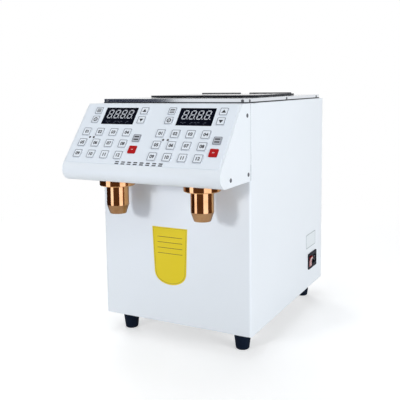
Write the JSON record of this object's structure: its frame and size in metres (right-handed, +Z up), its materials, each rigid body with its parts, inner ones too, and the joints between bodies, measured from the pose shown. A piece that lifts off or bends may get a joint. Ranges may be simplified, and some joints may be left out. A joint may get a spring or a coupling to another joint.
{
  "type": "fructose dispenser",
  "caption": "Countertop syrup dispenser with a wedge-shaped key console, brass nozzles below it, lidded tanks behind it, a white steel body and black feet.",
  "frame": {"origin": "floor level, under the middle of the machine's overall width and depth", "axes": "+Z up, -Y out of the front with the key console, +X to the right as seen from the front"},
  "size_m": [0.2754, 0.459, 0.4033],
  "materials": {
    "painted_shell": "semi-gloss white powder coat",
    "painted_console": "semi-gloss white powder coat",
    "painted_back": "semi-gloss white powder coat with vent slots",
    "zinc_plate": "zinc-plated sheet",
    "stainless_deck": "brushed stainless sheet",
    "stainless_lid": "brushed stainless sheet",
    "stainless_tank": "welded stainless sheet",
    "film": "satin printed polyester film",
    "key_white": "satin white pad with a dark legend",
    "key_grey": "satin grey pad",
    "key_red": "satin red pad",
    "board": "solder-masked circuit board",
    "display_window": "smoked window over unlit digits",
    "brass_nozzle": "turned brass, polished barrel and matt tip",
    "pump_body": "dark cast and machined metal",
    "coupling_metal": "turned aluminium hub on a steel shaft",
    "hose": "milky silicone hose",
    "supply_case": "folded aluminium case",
    "inlet_plastic": "black moulded inlet",
    "rocker_plastic": "glossy red rocker",
    "foot_rubber": "dark moulded rubber"
  },
  "bodies": {
    "housing": {"body_shell": "painted_shell", "rear_panel": "painted_back", "base_plate": "zinc_plate", "top_deck": "stainless_deck", "tank_left": "stainless_tank", "tank_right": "stainless_tank", "console_hood": "painted_console", "console_floor": "painted_console", "key_film": "film", "control_board": "board", "display_windows": "display_window", "nozzle_left": "brass_nozzle", "nozzle_right": "brass_nozzle", "pump_left": "pump_body", "pump_right": "pump_body", "hoses": "hose", "power_supply": "supply_case", "power_inlet": "inlet_plastic", "feet": "foot_rubber"},
    "lid_left": {"lid_left": "stainless_lid"},
    "lid_right": {"lid_right": "stainless_lid"},
    "coupling_left": {"coupling_left": "coupling_metal"},
    "coupling_right": {"coupling_right": "coupling_metal"},
    "rocker": {"rocker": "rocker_plastic"},
    "key_left_01": {"key_left_01": "key_white"},
    "key_left_02": {"key_left_02": "key_white"},
    "key_left_03": {"key_left_03": "key_white"},
    "key_left_04": {"key_left_04": "key_white"},
    "key_left_05": {"key_left_05": "key_white"},
    "key_left_06": {"key_left_06": "key_white"},
    "key_left_07": {"key_left_07": "key_white"},
    "key_left_08": {"key_left_08": "key_white"},
    "key_left_09": {"key_left_09": "key_white"},
    "key_left_10": {"key_left_10": "key_white"},
    "key_left_11": {"key_left_11": "key_white"},
    "key_left_12": {"key_left_12": "key_white"},
    "key_left_up": {"key_left_up": "key_white"},
    "key_left_down": {"key_left_down": "key_white"},
    "key_left_set": {"key_left_set": "key_white"},
    "key_left_mode": {"key_left_mode": "key_white"},
    "key_left_grey": {"key_left_grey": "key_grey"},
    "key_left_red": {"key_left_red": "key_red"},
    "key_right_01": {"key_right_01": "key_white"},
    "key_right_02": {"key_right_02": "key_white"},
    "key_right_03": {"key_right_03": "key_white"},
    "key_right_04": {"key_right_04": "key_white"},
    "key_right_05": {"key_right_05": "key_white"},
    "key_right_06": {"key_right_06": "key_white"},
    "key_right_07": {"key_right_07": "key_white"},
    "key_right_08": {"key_right_08": "key_white"},
    "key_right_09": {"key_right_09": "key_white"},
    "key_right_10": {"key_right_10": "key_white"},
    "key_right_11": {"key_right_11": "key_white"},
    "key_right_12": {"key_right_12": "key_white"},
    "key_right_up": {"key_right_up": "key_white"},
    "key_right_down": {"key_right_down": "key_white"},
    "key_right_set": {"key_right_set": "key_white"},
    "key_right_mode": {"key_right_mode": "key_white"},
    "key_right_grey": {"key_right_grey": "key_grey"},
    "key_right_red": {"key_right_red": "key_red"}
  },
  "joints": [
    {"name": "lid_left_hinge", "type": "hinge", "parent": "housing", "child": "lid_left", "pos_m": [-0.052, 0.1615, 0.4008], "axis": [-1, 0, 0], "range_deg": [0, 105]},
    {"name": "lid_right_hinge", "type": "hinge", "parent": "housing", "child": "lid_right", "pos_m": [0.052, 0.1615, 0.4008], "axis": [-1, 0, 0], "range_deg": [0, 105]},
    {"name": "pump_left_shaft", "type": "hinge", "parent": "housing", "child": "coupling_left", "pos_m": [-0.0755, -0.013, 0.0662], "axis": [0, 1, 0], "continuous": true},
    {"name": "pump_right_shaft", "type": "hinge", "parent": "housing", "child": "coupling_right", "pos_m": [0.0755, -0.013, 0.0662], "axis": [0, 1, 0], "continuous": true},
    {"name": "power_rocker", "type": "hinge", "parent": "housing", "child": "rocker", "pos_m": [0.134, 0.156, 0.0825], "axis": [0, -1, 0], "range_deg": [0, 18]},
    {"name": "key_left_01_press", "type": "slide", "parent": "housing", "child": "key_left_01", "axis": [0, 0.7836, -0.6213], "range_m": [0, 0.0005], "stiffness_N_per_m": 1500, "springref_m": -0.0005},
    {"name": "key_left_02_press", "type": "slide", "parent": "housing", "child": "key_left_02", "axis": [0, 0.7836, -0.6213], "range_m": [0, 0.0005], "stiffness_N_per_m": 1500, "springref_m": -0.0005},
    {"name": "key_left_03_press", "type": "slide", "parent": "housing", "child": "key_left_03", "axis": [0, 0.7836, -0.6213], "range_m": [0, 0.0005], "stiffness_N_per_m": 1500, "springref_m": -0.0005},
    {"name": "key_left_04_press", "type": "slide", "parent": "housing", "child": "key_left_04", "axis": [0, 0.7836, -0.6213], "range_m": [0, 0.0005], "stiffness_N_per_m": 1500, "springref_m": -0.0005},
    {"name": "key_left_05_press", "type": "slide", "parent": "housing", "child": "key_left_05", "axis": [0, 0.7836, -0.6213], "range_m": [0, 0.0005], "stiffness_N_per_m": 1500, "springref_m": -0.0005},
    {"name": "key_left_06_press", "type": "slide", "parent": "housing", "child": "key_left_06", "axis": [0, 0.7836, -0.6213], "range_m": [0, 0.0005], "stiffness_N_per_m": 1500, "springref_m": -0.0005},
    {"name": "key_left_07_press", "type": "slide", "parent": "housing", "child": "key_left_07", "axis": [0, 0.7836, -0.6213], "range_m": [0, 0.0005], "stiffness_N_per_m": 1500, "springref_m": -0.0005},
    {"name": "key_left_08_press", "type": "slide", "parent": "housing", "child": "key_left_08", "axis": [0, 0.7836, -0.6213], "range_m": [0, 0.0005], "stiffness_N_per_m": 1500, "springref_m": -0.0005},
    {"name": "key_left_09_press", "type": "slide", "parent": "housing", "child": "key_left_09", "axis": [0, 0.7836, -0.6213], "range_m": [0, 0.0005], "stiffness_N_per_m": 1500, "springref_m": -0.0005},
    {"name": "key_left_10_press", "type": "slide", "parent": "housing", "child": "key_left_10", "axis": [0, 0.7836, -0.6213], "range_m": [0, 0.0005], "stiffness_N_per_m": 1500, "springref_m": -0.0005},
    {"name": "key_left_11_press", "type": "slide", "parent": "housing", "child": "key_left_11", "axis": [0, 0.7836, -0.6213], "range_m": [0, 0.0005], "stiffness_N_per_m": 1500, "springref_m": -0.0005},
    {"name": "key_left_12_press", "type": "slide", "parent": "housing", "child": "key_left_12", "axis": [0, 0.7836, -0.6213], "range_m": [0, 0.0005], "stiffness_N_per_m": 1500, "springref_m": -0.0005},
    {"name": "key_left_up_press", "type": "slide", "parent": "housing", "child": "key_left_up", "axis": [0, 0.7836, -0.6213], "range_m": [0, 0.0005], "stiffness_N_per_m": 1500, "springref_m": -0.0005},
    {"name": "key_left_down_press", "type": "slide", "parent": "housing", "child": "key_left_down", "axis": [0, 0.7836, -0.6213], "range_m": [0, 0.0005], "stiffness_N_per_m": 1500, "springref_m": -0.0005},
    {"name": "key_left_set_press", "type": "slide", "parent": "housing", "child": "key_left_set", "axis": [0, 0.7836, -0.6213], "range_m": [0, 0.0005], "stiffness_N_per_m": 1500, "springref_m": -0.0005},
    {"name": "key_left_mode_press", "type": "slide", "parent": "housing", "child": "key_left_mode", "axis": [0, 0.7836, -0.6213], "range_m": [0, 0.0005], "stiffness_N_per_m": 1500, "springref_m": -0.0005},
    {"name": "key_left_grey_press", "type": "slide", "parent": "housing", "child": "key_left_grey", "axis": [0, 0.7836, -0.6213], "range_m": [0, 0.0005], "stiffness_N_per_m": 1500, "springref_m": -0.0005},
    {"name": "key_left_red_press", "type": "slide", "parent": "housing", "child": "key_left_red", "axis": [0, 0.7836, -0.6213], "range_m": [0, 0.0005], "stiffness_N_per_m": 1500, "springref_m": -0.0005},
    {"name": "key_right_01_press", "type": "slide", "parent": "housing", "child": "key_right_01", "axis": [0, 0.7836, -0.6213], "range_m": [0, 0.0005], "stiffness_N_per_m": 1500, "springref_m": -0.0005},
    {"name": "key_right_02_press", "type": "slide", "parent": "housing", "child": "key_right_02", "axis": [0, 0.7836, -0.6213], "range_m": [0, 0.0005], "stiffness_N_per_m": 1500, "springref_m": -0.0005},
    {"name": "key_right_03_press", "type": "slide", "parent": "housing", "child": "key_right_03", "axis": [0, 0.7836, -0.6213], "range_m": [0, 0.0005], "stiffness_N_per_m": 1500, "springref_m": -0.0005},
    {"name": "key_right_04_press", "type": "slide", "parent": "housing", "child": "key_right_04", "axis": [0, 0.7836, -0.6213], "range_m": [0, 0.0005], "stiffness_N_per_m": 1500, "springref_m": -0.0005},
    {"name": "key_right_05_press", "type": "slide", "parent": "housing", "child": "key_right_05", "axis": [0, 0.7836, -0.6213], "range_m": [0, 0.0005], "stiffness_N_per_m": 1500, "springref_m": -0.0005},
    {"name": "key_right_06_press", "type": "slide", "parent": "housing", "child": "key_right_06", "axis": [0, 0.7836, -0.6213], "range_m": [0, 0.0005], "stiffness_N_per_m": 1500, "springref_m": -0.0005},
    {"name": "key_right_07_press", "type": "slide", "parent": "housing", "child": "key_right_07", "axis": [0, 0.7836, -0.6213], "range_m": [0, 0.0005], "stiffness_N_per_m": 1500, "springref_m": -0.0005},
    {"name": "key_right_08_press", "type": "slide", "parent": "housing", "child": "key_right_08", "axis": [0, 0.7836, -0.6213], "range_m": [0, 0.0005], "stiffness_N_per_m": 1500, "springref_m": -0.0005},
    {"name": "key_right_09_press", "type": "slide", "parent": "housing", "child": "key_right_09", "axis": [0, 0.7836, -0.6213], "range_m": [0, 0.0005], "stiffness_N_per_m": 1500, "springref_m": -0.0005},
    {"name": "key_right_10_press", "type": "slide", "parent": "housing", "child": "key_right_10", "axis": [0, 0.7836, -0.6213], "range_m": [0, 0.0005], "stiffness_N_per_m": 1500, "springref_m": -0.0005},
    {"name": "key_right_11_press", "type": "slide", "parent": "housing", "child": "key_right_11", "axis": [0, 0.7836, -0.6213], "range_m": [0, 0.0005], "stiffness_N_per_m": 1500, "springref_m": -0.0005},
    {"name": "key_right_12_press", "type": "slide", "parent": "housing", "child": "key_right_12", "axis": [0, 0.7836, -0.6213], "range_m": [0, 0.0005], "stiffness_N_per_m": 1500, "springref_m": -0.0005},
    {"name": "key_right_up_press", "type": "slide", "parent": "housing", "child": "key_right_up", "axis": [0, 0.7836, -0.6213], "range_m": [0, 0.0005], "stiffness_N_per_m": 1500, "springref_m": -0.0005},
    {"name": "key_right_down_press", "type": "slide", "parent": "housing", "child": "key_right_down", "axis": [0, 0.7836, -0.6213], "range_m": [0, 0.0005], "stiffness_N_per_m": 1500, "springref_m": -0.0005},
    {"name": "key_right_set_press", "type": "slide", "parent": "housing", "child": "key_right_set", "axis": [0, 0.7836, -0.6213], "range_m": [0, 0.0005], "stiffness_N_per_m": 1500, "springref_m": -0.0005},
    {"name": "key_right_mode_press", "type": "slide", "parent": "housing", "child": "key_right_mode", "axis": [0, 0.7836, -0.6213], "range_m": [0, 0.0005], "stiffness_N_per_m": 1500, "springref_m": -0.0005},
    {"name": "key_right_grey_press", "type": "slide", "parent": "housing", "child": "key_right_grey", "axis": [0, 0.7836, -0.6213], "range_m": [0, 0.0005], "stiffness_N_per_m": 1500, "springref_m": -0.0005},
    {"name": "key_right_red_press", "type": "slide", "parent": "housing", "child": "key_right_red", "axis": [0, 0.7836, -0.6213], "range_m": [0, 0.0005], "stiffness_N_per_m": 1500, "springref_m": -0.0005}
  ]
}
